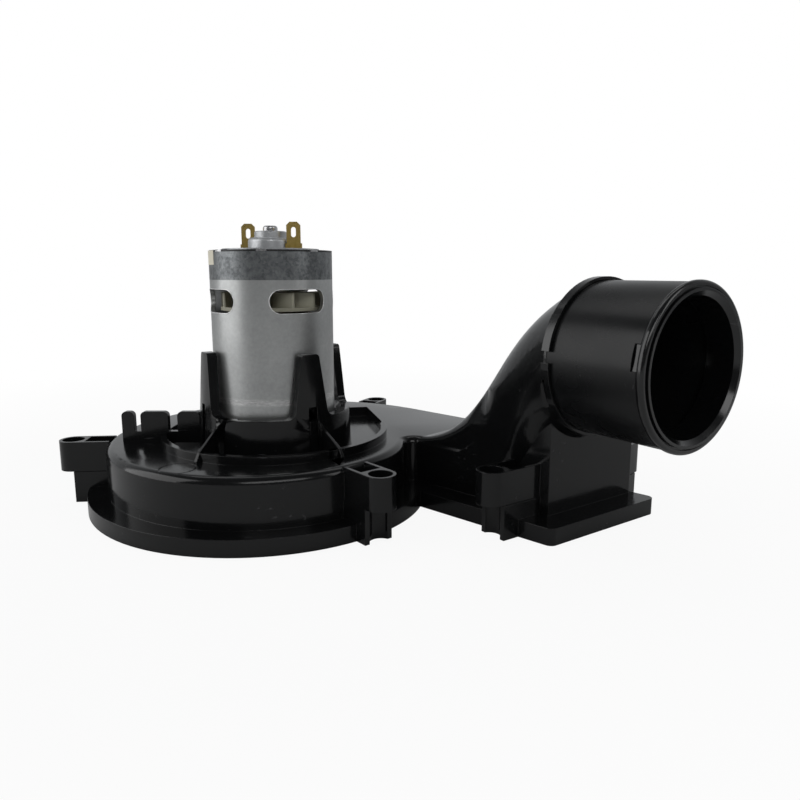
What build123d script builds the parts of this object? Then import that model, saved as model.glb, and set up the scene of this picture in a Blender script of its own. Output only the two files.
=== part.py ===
from build123d import *
from math import acos, atan2, cos, degrees, radians, sin
import os

# Centrifugal blower fan: a brushed DC motor stands on a moulded scroll housing
# whose duct climbs through an S-bend to a round outlet tube.
# Frame: motor axis on Z, mounting plane at Z = 0, seen from -Y as in use.
# Azimuths are degrees from +X, counter-clockwise from above; millimetres.

# Motor
motor_radius = 21.0
motor_length = 66.7
can_wall = 1.5
can_floor = 2.5
can_edge_round = 1.2
shaft_radius = 2.5
shaft_tip_rise = 8.5
shaft_tip_round = 0.9
shaft_hole_gap = 0.7
rear_hole_gap = 0.3
front_boss_radius = 8.75
front_boss_height = 4.8
front_boss_floor = 0.8
rear_boss_radius = 7.7
rear_boss_rise = 4.4
rear_boss_round = 1.4
rear_cap_radius = 5.5
rear_cap_rise = 6.6
rear_cap_round = 0.5
end_plate_sink = 0.3
end_plate_thickness = 2.0
end_plate_step_radius = 16.5
end_plate_step_rise = 0.6
screw_circle_radius = 14.5
motor_screw_radius = 2.0
motor_screw_head_radius = 3.5
motor_screw_head_height = 2.4
motor_screw_head_round = 0.9
motor_screw_slot = 1.0
motor_screw_recess = 3.0
vent_height = 7.9
vent_angle = 57.0
vent_drop = 12.7
vent_first_azimuth = -54.0
vent_count = 4
rim_notch_azimuth = -162.0
rim_notch_width = 5.6
rim_notch_depth = 4.8
bearing_radius = 5.2
bearing_length = 5.0
magnet_thickness = 4.0
magnet_length = 34.0
magnet_angle = 136.0
core_length = 30.0
core_slots = 5
slot_mouth = 1.8
slot_floor_radius = 6.2
slot_tooth_tip = 2.2
slot_floor_angle = 14.0
slot_rim_angle = 26.0
magnet_gap = 0.6
coil_end_length = 4.5
coil_end_bore = 5.0
coil_end_round = 1.5
coil_inset = 1.2
commutator_radius = 5.5
commutator_length = 8.0
commutator_slot_depth = 0.6
commutator_slot_width = 0.5
holder_depth = 7.0
holder_bore_radius = 8.2
brush_width = 4.0
brush_length = 9.0
brush_height = 5.0
brush_gap = 0.3
brush_azimuth = 60.0
motor_fan_radius = 17.6
motor_fan_height = 6.0
motor_fan_blades = 12
motor_fan_plate = 1.2
motor_fan_hub_radius = 7.0
motor_fan_sweep = 34.0
motor_fan_blade_thickness = 1.0
terminal_radius = 10.1
terminal_azimuth = -30.0
terminal_width = 4.7
terminal_thickness = 0.8
terminal_rise = 9.5
terminal_depth = 4.0
terminal_chamfer = 1.1
terminal_shoulder = 0.45
terminal_shoulder_rise = 2.4
terminal_slot_rise = 2.8
terminal_eye_length = 3.4
terminal_eye_width = 1.7

# Housing
deck_height = 21.5
wall = 2.0
shoulder_radius = 2.6
flange_height = 5.4
flange_lip = 6.65
flange_skirt = 1.8
scroll_radius = 50.15
scroll_growth = 0.065
scroll_curve = 0.0000873
scroll_zero_azimuth = -60.0
scroll_arcs = 8
duct_heading = -43.0
duct_throat = 17.65
duct_width = 38.9
duct_near_lip = 8.9
duct_face_lip = 8.5
duct_far_lip = 1.5
flange_corner = 2.5
tongue_fillet = 3.0
bend_inset = 0.3
recess_margin = 10.25
recess_depth = 4.0
bead_rise = 2.8
eject_mark_radius = 5.6
eject_mark_depth = 0.2
eject_mark_place = (-22.4, -42.5)

# Cup and prongs that hold the motor
cup_rise = 11.9
cup_base_wall = 6.1
cup_lead_in = 2.4
prong_azimuths = (-147.0, -52.0, 37.0, 132.0)
prong_rise = 33.0
prong_base_width = 12.6
prong_tip_width = 6.4
prong_tip_inner = 1.0
prong_tip_outer = 4.3
prong_fillet = 3.0
prong_tip_fillet = 1.5
prong_groove_width = 3.0
prong_groove_depth = 1.4
prong_groove_rise = 15.5
rim_pocket_azimuth = -107.0
rim_pocket_radius = 1.7
rib_thickness = 1.6
rib_overhang = 1.5
rib_azimuths = (-112.5, -60.5)

# Cable comb on the deck
comb_azimuth = -171.0
comb_inset = 6.2
comb_length = 29.2
comb_offset = -8.0
comb_thickness = 2.2
comb_rail_rise = 3.5
comb_tooth_rise = 10.5
comb_teeth = ((0.0, 4.3), (6.6, 16.2), (19.4, 27.2))
comb_tooth_fillet = 1.6

# Screw bosses round the housing
boss_radius = 4.7
boss_bore_radius = 2.2
boss_counterbore_radius = 3.7
boss_floor = 2.6
boss_foot_height = 11.0
boss_foot_width = 10.0
boss_foot_start = 1.0
boss_channel_radius = 3.5
boss_wall = 1.1
scroll_bosses = ((-174.7, 12.3), (-50.8, 12.1), (-295.8, 6.9))
near_boss = (82.2, 14.7)
near_boss_tie = (85.8, -1.8)
far_boss = (96.0, 6.8)

# Outlet
outlet_heading = -55.0
outlet_setback = 34.3
outlet_height = 54.4
outlet_face = 84.6
tube_radius = 23.2
tube_wall = 2.6
tube_length = 30.1
collar_start = 87.5
collar_length = 2.8
collar_wall = 1.0
socket_depth = 1.8
collar_gaps = ((156.8, 6.6), (175.5, 3.8))
end_ring_step = 0.5
end_ring_wall = 1.0
end_ring_length = 2.2
end_ring_groove = 0.6
end_ring_bead = 1.5
end_ring_lip = 0.5
end_ring_round = 0.9
end_ring_spigot = 7.0
mouth_chamfer = 1.3
snap_turn = 169.0
snap_width = 7.2
snap_length = 1.7
snap_sink = 0.7

# Lower cover and intake
cover_thickness = 2.4
intake_radius = 16.0
intake_lip = 1.0
cover_screw_azimuths = (-42.0, -105.0, -160.0, -210.0, -262.0)
cover_screw_radius = 1.2
cover_screw_head_radius = 2.1
cover_screw_length = 4.6
cover_screw_head_height = 1.2
cover_screw_slot = 0.6
cover_rib_rise = 2.0
cover_rib_thickness = 1.2
cover_shell = 2.2
intake_round = 1.0
intake_rim = 3.0

# Impeller
impeller_margin = 13.65
impeller_low_gap = 0.6
impeller_plate = 1.2
impeller_blades = 12
impeller_blade_thickness = 1.1
impeller_hub_radius = 6.5
impeller_hub_lift = 1.6
impeller_sweep = 48.0
impeller_top_gap = 0.9
clip_radius = 4.5
clip_thickness = 0.9
clip_lift = 0.7

# Bend of the duct, one row per section: low edge along the duct and its height, high edge
# along and its height, shift across, extra width, corner radius, turn towards the outlet
bend_start = (38, 0.4, 2.4)
bend_rows = (
    (52, 0.4, 49, 24.2, 0.0, 0.0, 3.5, 0.0),
    (66, 1.0, 58, 31.5, 0.0, 0.0, 7.0, 0.1),
    (79, 6.0, 67, 44.0, -0.4, 1.5, 12.0, 0.35),
    (89, 17.0, 78, 60.5, -1.6, 4.5, 18.0, 0.7),
)
bend_overlap = 0.5

# Tops of the box under the bend and of the cover's ramp: distance along the duct, height
box_tops = ((36, 18), (58, 19.5), (70, 29), (80, 39), (92, 46), (112, 47))
ramp_tops = ((62, 2.0), (72, 3.6), (80, 8.2), (88, 17.2), (95, 30.0), (112, 31.0))
ramp_shift = 1.4

# Corners of the pocket beside the motor recess: distance past its rim, azimuth
pocket_corners = ((-1.5, -5), (4.6, 23.7), (22.5, 59.5), (13.0, 74), (-1.5, 80))
pocket_inner_azimuth = 45

# Places of the two cover screws at the duct, from its near wall and from the outlet face
duct_screw = (68.0, 4.2)
face_screw = (3.2, 4.0)
rim_screw_inset = 2.3

# Clearances
slip = 0.1
running = 0.05
seat = 0.02
cover_gap = 0.2

# Heights that follow from the sizes above
recess_floor = deck_height - recess_depth
recess_ceiling = recess_floor - wall
motor_seat = recess_ceiling + front_boss_height
motor_top = motor_seat + motor_length
can_bore = motor_radius - can_wall
cup_top = motor_seat + cup_rise
prong_top = motor_seat + prong_rise
vent_middle = motor_top - vent_drop - vent_height / 2
impeller_top = recess_ceiling - impeller_top_gap
impeller_bottom = cover_thickness + intake_lip + impeller_low_gap
shaft_bottom = impeller_bottom - 0.4
end_plate_low = motor_top - end_plate_sink - end_plate_thickness
holder_top = end_plate_low - 0.3
holder_low = holder_top - holder_depth
front_bearing_low = recess_ceiling + front_boss_floor
rear_bearing_low = motor_top - 0.8
fan_low = vent_middle - 3.4
core_low = fan_low - 0.8 - coil_end_length - core_length
core_radius = motor_radius - can_wall - magnet_thickness - magnet_gap

# Widths that follow from the sizes above
recess_radius = scroll_radius - recess_margin
impeller_radius = scroll_radius - impeller_margin
duct_near = scroll_radius - duct_throat
duct_far = duct_near + duct_width
outlet_offset = duct_near + outlet_setback
tube_bore = tube_radius - tube_wall
collar_radius = tube_radius + slip + collar_wall
collar_end = collar_start + collar_length
tube_start = collar_end - socket_depth
tube_end = tube_start + tube_length
end_ring_radius = tube_radius + end_ring_step
end_ring_bore = tube_bore - end_ring_wall


def duct_point(along, across, z=0.0):
    """Point along the duct's heading and across it, both from the motor axis."""
    c, s = cos(radians(duct_heading)), sin(radians(duct_heading))
    return Vector(along * c - across * s, along * s + across * c, z)


def outlet_point(along, across, z=0.0):
    c, s = cos(radians(outlet_heading)), sin(radians(outlet_heading))
    return Vector(along * c - across * s, along * s + across * c, z)


def outlet_plane(along):
    """Plane square to the outlet tube, its X to the tube's right, its Y up."""
    forward = outlet_point(1, 0)
    return Plane(origin=outlet_point(along, outlet_offset, outlet_height), x_dir=outlet_point(0, 1), z_dir=forward)


def polar(radius, azimuth, z=0.0):
    return Vector(radius * cos(radians(azimuth)), radius * sin(radians(azimuth)), z)


def outlet_column(radius, start, end):
    """Cylinder on the outlet axis between two distances from the motor axis."""
    return outlet_plane(start) * Cylinder(radius, end - start, align=(Align.CENTER, Align.CENTER, Align.MIN))


def outlet_ring(outer, inner, start, end):
    return outlet_column(outer, start, end) - outlet_column(inner, start - 1, end + 1)


def column(radius, low, high):
    return Pos(0, 0, low) * Cylinder(radius, high - low, align=(Align.CENTER, Align.CENTER, Align.MIN))


def ring(outer, inner, low, high):
    return column(outer, low, high) - column(inner, low - 1, high + 1)


def prism(face, low, high):
    return extrude(Pos(0, 0, low) * face, amount=high - low, dir=(0, 0, 1))


def block(x_size, y_size, low, high):
    return Pos(0, 0, low) * Box(x_size, y_size, high - low, align=(Align.CENTER, Align.CENTER, Align.MIN))


def wall_radius(azimuth):
    """Outer radius of the scroll wall, which grows clockwise from the tongue."""
    turn = scroll_zero_azimuth - azimuth
    return scroll_radius + scroll_growth * turn + scroll_curve * turn * turn


def face_corner(across, along_outlet):
    """Where a line along the duct meets a plane square to the outlet."""
    skew = radians(outlet_heading - duct_heading)
    return duct_point((along_outlet - across * sin(skew)) / cos(skew), across)


def plan_face(scroll_lip, near_lip, face_lip, far_lip):
    """Plan of scroll and duct, each wall moved outward by its own lip."""
    square = duct_heading + 90
    near, far = duct_near - near_lip, duct_far + far_lip
    tongue = 0.0
    for _ in range(30):
        tongue = square - degrees(acos(near / (wall_radius(tongue) + scroll_lip)))
    sweep = (square - 360 - tongue) / scroll_arcs
    points = [polar(wall_radius(tongue + sweep * k) + scroll_lip, tongue + sweep * k) for k in range(scroll_arcs)]
    growth = scroll_growth + 2 * scroll_curve * (scroll_zero_azimuth - tongue)
    spread = degrees(growth / radians(1) / points[0].length)
    direction = polar(1, tongue - 90 + spread)
    outline = []
    for start, end in zip(points, points[1:]):
        arc = TangentArc(start, end, tangent=direction)
        direction = arc % 1
        outline.append(arc)
    ahead = duct_point(1, 0)
    meet = far_line_meeting(points[-1], direction, far)
    leave = meet + ahead * (meet - points[-1]).length
    outline.append(TangentArc(points[-1], leave, tangent=direction))
    far_corner = face_corner(far, outlet_face + face_lip)
    near_corner = face_corner(near, outlet_face + face_lip)
    outline.append(Polyline(leave, far_corner, near_corner, points[0]))
    return make_face(outline)


def far_line_meeting(start, direction, far):
    """Where a line in plan meets the far duct wall's line."""
    square = duct_point(0, 1)
    return start + direction * ((far - start.dot(square)) / direction.dot(square))


def even_plan(lip):
    return plan_face(lip, lip, lip, lip)


def flange_plan(inset):
    near, face, far = duct_near_lip - inset, duct_face_lip - inset, duct_far_lip - inset
    return plan_face(flange_lip - inset, near, face, far)


def rounded_flange(low, high):
    """Flange round the foot of the housing, its two outlet corners rounded."""
    body = prism(flange_plan(0), low, high)
    uprights = body.edges().filter_by(Axis.Z).sort_by(lambda e: -e.center().dot(outlet_point(1, 0)))
    return fillet(uprights[:2], flange_corner)


def loft_section(station, inset):
    """One rounded section of the bend, square to its path, moved in by inset."""
    low_along, low_z, high_along, high_z, across, width, corner, turn = station
    low = duct_point(low_along, across, low_z)
    high = duct_point(high_along, across, high_z)
    side = outlet_point(0, 1) * turn + duct_point(0, 1) * (1 - turn)
    up = (high - low).normalized()
    plane = Plane(origin=(low + high) / 2, x_dir=side, z_dir=side.cross(up))
    height = (high - low).length
    return plane * RectangleRounded(width - 2 * inset, height - 2 * inset, max(corner - inset, 0.5))


def bend_stations():
    """Low and high edge, centre across, width, corner radius and turn of each section."""
    end = outlet_point(collar_start + bend_overlap, outlet_offset)
    end_along, end_across = end.dot(duct_point(1, 0)), end.dot(duct_point(0, 1))
    width = duct_width - 2 * bend_inset
    middle = duct_near + duct_width / 2
    top, bottom = outlet_height + tube_radius, outlet_height - tube_radius
    along, floor, corner = bend_start
    stations = [(along, floor, along, deck_height - bend_inset, middle, width, corner, 0.0)]
    for low_along, low_z, high_along, high_z, shift, extra, corner, turn in bend_rows:
        stations.append((low_along, low_z, high_along, high_z, middle + shift, width + extra, corner, turn))
    nearly_round = tube_radius - slip / 2
    stations.append((end_along, bottom, end_along, top, end_across, 2 * tube_radius, nearly_round, 1.0))
    return stations


def bend_solid(inset):
    return loft([loft_section(station, inset) for station in bend_stations()])


def box_under_bend(inset, drop):
    """Straight-walled box under the bend, cut to the duct walls and the outlet face."""
    near = duct_near + inset
    points = [duct_point(along, near, height - drop) for along, height in box_tops]
    foot = [duct_point(box_tops[k][0], near, -1) for k in (-1, 0)]
    profile = make_face([Spline(*points), Polyline(points[-1], *foot, points[0])])
    body = extrude(profile, amount=duct_width - 2 * inset, dir=duct_point(0, 1))
    return body & prism(even_plan(-inset), -0.5 if inset else 0, outlet_height)


def screw_boss(centre, toward, high):
    """Screw boss with a walled tie to the housing and an open channel for a foot."""
    tie = toward - centre
    turn = Rot(0, 0, degrees(atan2(tie.Y, tie.X)))
    length, width = tie.length, 2 * boss_radius
    step = boss_foot_height
    body = column(boss_radius, step, high)
    body += Pos(length / 2, 0, 0) * block(length, width, step, high)
    foot_length = length - boss_foot_start
    body += Pos(boss_foot_start + foot_length / 2, 0, 0) * block(foot_length, boss_foot_width, 0, step)
    pocket_start = boss_counterbore_radius + boss_wall
    room = length - pocket_start
    if room > 2 * boss_wall:
        pocket = block(room, width - 2 * boss_wall, step + boss_floor, high + 1)
        body -= Pos(pocket_start + room / 2, 0, 0) * pocket
    body -= column(boss_channel_radius, -1, step)
    body -= column(boss_bore_radius, -1, high + 1)
    body -= column(boss_counterbore_radius, step + boss_floor, high + 1)
    return Pos(centre.X, centre.Y, 0) * turn * body


def boss_places():
    """Centre and tie point of each screw boss, three round the scroll and two at the duct."""
    places = []
    for azimuth, reach in scroll_bosses:
        rim = wall_radius(azimuth)
        places.append((polar(rim + reach, azimuth), polar(rim - wall / 2, azimuth)))
    along, out = near_boss
    tie_along, tie_out = near_boss_tie
    places.append((duct_point(along, duct_near - out), duct_point(tie_along, duct_near - tie_out)))
    along, out = far_boss
    places.append((duct_point(along, duct_far + out), duct_point(along, duct_far - wall)))
    return places


def recess_pocket(inset):
    """Plan of the straight-edged pocket that widens the motor recess at the back."""
    corners = [polar(recess_radius + out, azimuth) for out, azimuth in pocket_corners]
    corners.append(polar(recess_radius / 3, pocket_inner_azimuth))
    plan = make_face(Polyline(*corners, close=True))
    return offset(plan, -inset) if inset else plan


def cup_profile():
    """Half section of cup and prongs: drafted outside, a lead-in at the rim, prongs clear of the can."""
    return make_face(Plane.XZ * Polyline(
        (0, recess_ceiling),
        (motor_radius + cup_base_wall, recess_ceiling),
        (motor_radius + prong_tip_outer, prong_top),
        (motor_radius + prong_tip_inner, prong_top),
        (motor_radius + cup_lead_in, cup_top),
        (motor_radius + slip, cup_top - cup_lead_in),
        (motor_radius + slip, motor_seat),
        (0, motor_seat),
        close=True,
    ))


def prong_outline():
    """Front view of one prong, blended into the rim on both sides."""
    skirt = prong_base_width / 2 + prong_fillet + 1
    outline = make_face(Polyline(
        (-skirt, cup_top - 2),
        (skirt, cup_top - 2),
        (skirt, cup_top),
        (prong_base_width / 2, cup_top),
        (prong_tip_width / 2, prong_top),
        (-prong_tip_width / 2, prong_top),
        (-prong_base_width / 2, cup_top),
        (-skirt, cup_top),
        close=True,
    ))
    tips = outline.vertices().group_by(Axis.Y)[-1]
    outline = fillet(tips, prong_tip_fillet)
    half_width = prong_base_width / 2
    roots = outline.vertices().filter_by(lambda v: abs(abs(v.X) - half_width) < 0.01 and v.Y < cup_top + 1)
    return fillet(roots, prong_fillet)


def motor_cup():
    """Cup that the motor stands in, with four prongs round the can."""
    body = revolve(cup_profile(), Axis.Z)
    reach = 2 * motor_radius
    kept = column(reach, recess_ceiling, cup_top)
    blade = extrude(Plane.YZ * prong_outline(), amount=reach, dir=(1, 0, 0))
    groove_top = motor_seat + prong_groove_rise
    groove = Pos(reach + motor_radius + prong_tip_outer - prong_groove_depth, 0, 0)
    groove *= block(2 * reach, prong_groove_width, recess_floor, groove_top)
    for azimuth in prong_azimuths:
        kept += Rot(0, 0, azimuth) * blade
    body &= kept
    for azimuth in prong_azimuths:
        body -= Rot(0, 0, azimuth) * groove
    pocket = polar(motor_radius + cup_lead_in, rim_pocket_azimuth)
    return body - Pos(pocket.X, pocket.Y, 0) * column(rim_pocket_radius, cup_top - cup_lead_in, cup_top + 1)


def cup_rib(azimuth):
    """Thin upright rib that slopes from the cup over the recess bead to the deck."""
    start, end = motor_radius + prong_tip_outer, recess_radius + rib_overhang
    low = recess_floor - 0.5
    bead_top = deck_height + bead_rise
    outline = Plane.XZ * make_face(Polyline(
        (start, low),
        (end, low),
        (end, deck_height + 0.5),
        (recess_radius, bead_top + 0.2),
        (start, cup_top - 2 * rib_overhang),
        close=True,
    ))
    return Rot(0, 0, azimuth) * extrude(outline, amount=rib_thickness / 2, both=True)


def cable_comb():
    """Toothed rail on the deck that keeps the motor leads in place."""
    left = -wall_radius(comb_azimuth) + comb_inset
    low = deck_height - 0.5
    rail = Pos(left + comb_length / 2, comb_offset, 0)
    rail *= block(comb_length, comb_thickness, low, deck_height + comb_rail_rise)
    for start, end in comb_teeth:
        tooth = Pos(left + (start + end) / 2, comb_offset, 0)
        tooth *= block(end - start, comb_thickness, low, deck_height + comb_tooth_rise)
        corners = tooth.edges().filter_by(Axis.Y).sort_by(Axis.Z)[-2:]
        rail += fillet(corners, comb_tooth_fillet)
    return rail


def outlet_collar():
    """Collar on the bend's round end, a socket for the tube with gaps between its lugs."""
    collar = outlet_column(collar_radius, collar_start, collar_end)
    collar -= outlet_column(tube_radius + slip, tube_start, collar_end + 1)
    skin = outlet_ring(collar_radius + 1, tube_radius + slip, collar_start, collar_end)
    for turn, width in collar_gaps:
        slot = Rot(0, 0, turn) * Box(2 * collar_radius + 4, width, 2 * collar_end)
        collar -= skin & outlet_plane(collar_start) * slot
    return collar


def cover_screw_places():
    """Lower cover screws: round the scroll's flange, beside the duct and under the outlet."""
    out = flange_lip - flange_skirt - rim_screw_inset
    places = [polar(wall_radius(azimuth) + out, azimuth) for azimuth in cover_screw_azimuths]
    along, out = duct_screw
    places.append(duct_point(along, duct_near - out))
    out, across = face_screw
    places.append(outlet_point(outlet_face + out, outlet_offset + across))
    return places


def eject_mark():
    """Shallow ring that an ejector pin leaves on the deck."""
    low = deck_height - eject_mark_depth
    return ring(eject_mark_radius, eject_mark_radius - 2 * eject_mark_depth, low, deck_height + 1)


def build_upper_housing():
    shell = prism(even_plan(0), 0, deck_height)
    shell = fillet(shell.edges().filter_by(Axis.Z).sort_by_distance(polar(scroll_radius, 0)).first, tongue_fillet)
    shell = fillet(shell.edges().group_by(Axis.Z)[-1], shoulder_radius)
    shell += rounded_flange(0, flange_height)
    shell += box_under_bend(0, 0)
    shell += bend_solid(0)
    shell += outlet_collar()
    for centre, toward in boss_places():
        shell += screw_boss(centre, toward, deck_height)
    shell += column(recess_radius, recess_ceiling, deck_height + bead_rise)
    shell += prism(recess_pocket(0), recess_ceiling, deck_height)

    shell -= column(recess_radius - wall, recess_floor, deck_height + bead_rise + 1)
    shell -= prism(recess_pocket(wall), recess_floor, deck_height + bead_rise + 1)
    room = prism(even_plan(-wall), -1, deck_height - wall)
    room -= column(recess_radius, recess_ceiling, deck_height)
    room -= prism(recess_pocket(0), recess_ceiling, deck_height)
    shell -= room
    shell -= box_under_bend(wall, 2 * wall)
    shell -= bend_solid(wall)
    shell -= outlet_column(tube_bore, collar_start - 1, tube_start + 1)
    shell -= prism(flange_plan(flange_skirt), -1, cover_thickness)
    for place in cover_screw_places():
        shell -= Pos(place.X, place.Y, 0) * column(cover_screw_radius + seat, 0, cover_screw_length + slip)

    shell += motor_cup()
    for azimuth in rib_azimuths:
        shell += cup_rib(azimuth)
    shell += cable_comb()
    shell -= Pos(*eject_mark_place) * eject_mark()
    shell -= column(motor_radius + slip, motor_seat, cup_top + 1)
    shell -= column(front_boss_radius + slip, recess_ceiling - 1, motor_seat + 1)
    for side in (-1, 1):
        place = Pos(side * screw_circle_radius, 0, 0)
        shell -= place * column(motor_screw_radius + slip, recess_ceiling - 1, motor_seat + 1)
        recess_top = recess_ceiling + motor_screw_recess
        shell -= place * column(motor_screw_head_radius + 2 * slip, recess_ceiling - 1, recess_top)
    return shell


def build_lower_cover():
    """Bottom plate with the intake, a locating rib and the ramp under the bend."""
    plate = prism(flange_plan(flange_skirt + cover_gap), 0, cover_thickness)
    inner = wall + cover_gap
    rib_top = cover_thickness + cover_rib_rise
    rib = prism(even_plan(-inner), 0, rib_top)
    rib -= prism(even_plan(-inner - cover_rib_thickness), -1, rib_top + 1)
    cover = plate + rib + ramp_body(0.0)
    intake_top = cover_thickness + intake_lip
    cover += ring(intake_radius + intake_rim, intake_radius, 0, intake_top)
    cover -= ramp_body(cover_shell)
    cover -= column(intake_radius, -1, intake_top + 1)
    for place in cover_screw_places():
        spot = Pos(place.X, place.Y, 0)
        cover -= spot * column(cover_screw_radius + slip, -1, cover_thickness + 1)
        cover -= spot * column(cover_screw_head_radius + slip, -1, cover_screw_head_height + slip)
    mouth = cover.edges().filter_by(GeomType.CIRCLE).filter_by(lambda e: abs(e.radius - intake_radius) < 0.01)
    return fillet(mouth.sort_by(Axis.Z).first, intake_round)


def ramp_body(inset):
    """Wedge whose curved top is the floor of the bend; an inset gives its hollow."""
    near = duct_near + wall + cover_gap + inset
    shift = ramp_shift * inset
    points = [duct_point(along + shift, near, height - shift / 2) for along, height in ramp_tops]
    foot = [duct_point(ramp_tops[k][0] + shift, near, -inset) for k in (-1, 0)]
    profile = make_face([Spline(*points), Polyline(points[-1], *foot, points[0])])
    width = duct_width - 2 * (wall + cover_gap + inset)
    body = extrude(profile, amount=width, dir=duct_point(0, 1))
    lip = -wall - cover_gap - inset
    return body & prism(even_plan(lip), -inset, outlet_height)


def build_outlet_tube():
    """Straight tube seated in the collar, with a notch on each side for the end ring."""
    tube = outlet_ring(tube_radius, tube_bore, tube_start, tube_end)
    notch = Rot(0, 0, snap_turn) * Box(2 * tube_radius + 10, snap_width, 2 * snap_length)
    return tube - outlet_plane(tube_end) * notch


def build_end_ring():
    """Mouth ring: a rounded bead, a groove, a chamfered inner lip and a spigot with snaps."""
    bead_end = end_ring_length
    groove_out = end_ring_radius - end_ring_bead
    groove_in = groove_out - end_ring_step
    lip_end = bead_end + end_ring_lip
    profile = Plane.XZ * make_face(Polyline(
        (end_ring_bore, -end_ring_spigot),
        (tube_bore - slip, -end_ring_spigot),
        (tube_bore - slip, 0),
        (end_ring_radius, 0),
        (end_ring_radius, bead_end),
        (groove_out, bead_end),
        (groove_out, bead_end - end_ring_groove),
        (groove_in, bead_end - end_ring_groove),
        (groove_in, lip_end),
        (end_ring_bore + mouth_chamfer, lip_end),
        (end_ring_bore, lip_end - mouth_chamfer),
        close=True,
    ))
    body = revolve(profile, Axis.Z)
    rim = body.edges().filter_by(GeomType.CIRCLE).filter_by(lambda e: abs(e.radius - end_ring_radius) < 0.01)
    body = fillet(rim, end_ring_round)
    reach = 2 * (tube_radius - snap_sink)
    snap = Rot(0, 0, snap_turn) * Box(reach, snap_width - 2 * slip, 2 * (snap_length - slip))
    snap &= column(tube_radius, -snap_length, 0.1) - column(tube_bore - 2 * slip, -tube_radius, tube_radius)
    return outlet_plane(tube_end) * (body + snap)


def vent_cutter(azimuth):
    """Oblong window through the can with fully rounded ends."""
    radius = vent_height / 2
    end_turn = vent_angle / 2 - degrees(radius / motor_radius)
    outer, inner = motor_radius + 1, can_bore - 1
    sector = ring(outer, inner, vent_middle - radius, vent_middle + radius)
    far = 2 * motor_radius
    wedge = make_face(Polyline((0, 0), polar(far, -end_turn), polar(far, end_turn), close=True))
    body = sector & prism(wedge, vent_middle - radius - 1, vent_middle + radius + 1)
    drill = Plane.YZ * Cylinder(radius, far, align=(Align.CENTER, Align.CENTER, Align.MIN))
    drill = Pos(0, 0, vent_middle) * drill - column(inner, 0, 2 * motor_top)
    for turn in (-end_turn, end_turn):
        body += Rot(0, 0, turn) * drill
    return Rot(0, 0, azimuth) * body


def build_motor_can():
    """Deep-drawn can with its front boss, vent windows and rim notch."""
    can = column(motor_radius, motor_seat, motor_top)
    can = fillet(can.edges().sort_by(Axis.Z).first, can_edge_round)
    can += column(front_boss_radius, recess_ceiling, motor_seat + 1)
    can -= column(can_bore, motor_seat + can_floor, motor_top + 1)
    can -= column(bearing_radius + seat, front_bearing_low, motor_top)
    can -= column(shaft_radius + shaft_hole_gap, recess_ceiling - 1, motor_seat)
    for k in range(vent_count):
        can -= vent_cutter(vent_first_azimuth + 360 / vent_count * k)
    notch = block(4 * can_wall, rim_notch_width, motor_top - rim_notch_depth, motor_top + 1)
    can -= Rot(0, 0, rim_notch_azimuth) * Pos(motor_radius, 0, 0) * notch
    for side in (-1, 1):
        can -= Pos(side * screw_circle_radius, 0, 0) * column(motor_screw_radius + seat, 0, motor_top / 2)
    return can


def build_end_plate():
    """Rear plate with its stepped disc, bearing boss and terminal slots."""
    low = end_plate_low
    plate = column(can_bore - seat, low, low + end_plate_thickness)
    plate += column(end_plate_step_radius, low, motor_top + end_plate_step_rise)
    drum = column(rear_boss_radius, low, motor_top + rear_boss_rise)
    drum = fillet(drum.edges().sort_by(Axis.Z).last, rear_boss_round)
    cap = column(rear_cap_radius, low, motor_top + rear_cap_rise)
    cap = fillet(cap.edges().sort_by(Axis.Z).last, rear_cap_round)
    plate += drum + cap
    plate -= column(bearing_radius + seat, low - 1, rear_bearing_low + bearing_length)
    plate -= column(shaft_radius + rear_hole_gap, low - 1, motor_top + rear_cap_rise + 1)
    slot = block(terminal_width + 1, terminal_thickness + 1, low - 1, motor_top + terminal_slot_rise)
    for place in terminal_places():
        plate -= place * slot
    return plate


def terminal_places():
    return [Pos(*polar(terminal_radius, terminal_azimuth + turn)) for turn in (0, 180)]


def build_terminal(place):
    """Flat brass tab with an oblong eye and chamfered top corners."""
    low, top = holder_top - terminal_depth, motor_top + terminal_rise
    tab = block(terminal_width, terminal_thickness, low, top)
    tab = chamfer(tab.edges().filter_by(Axis.Y).sort_by(Axis.Z)[-2:], terminal_chamfer)
    shoulder_width = terminal_width + 2 * terminal_shoulder
    tab += block(shoulder_width, terminal_thickness, low, motor_top + terminal_shoulder_rise)
    eye = Plane.XZ * Pos(0, top - terminal_eye_length, 0)
    eye *= SlotOverall(terminal_eye_length, terminal_eye_width, rotation=90)
    return place * (tab - extrude(eye, amount=terminal_width, both=True))


def bearing(low):
    return ring(bearing_radius, shaft_radius + running, low, low + bearing_length)


def build_brush_holder():
    """Cream holder ring with two brush channels and the tab that shows at the rim."""
    holder = ring(can_bore - slip, holder_bore_radius, holder_low, holder_top)
    tab_low = motor_top - rim_notch_depth + slip
    tab_width = rim_notch_width - 2 * slip
    tab = Pos(motor_radius, 0, 0) * block(4 * can_wall, tab_width, tab_low, motor_top - 0.4)
    tab &= ring(motor_radius, can_bore, 0, motor_top)
    tab += Pos(can_bore - 1, 0, 0) * block(2 * can_wall, tab_width, tab_low, holder_top)
    holder += Rot(0, 0, rim_notch_azimuth) * tab
    low = holder_low + 1
    channel = block(brush_length + 4, brush_width + 2 * slip, low, low + brush_height + slip)
    for side in (0, 180):
        holder -= Rot(0, 0, brush_azimuth + side) * Pos(holder_bore_radius + brush_length / 2, 0, 0) * channel
    shoulder_width = terminal_width + 2 * (terminal_shoulder + seat)
    slot = block(shoulder_width, terminal_thickness + 2 * seat, holder_top - terminal_depth, holder_top + 1)
    for place in terminal_places():
        holder -= place * slot
    return holder


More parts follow.
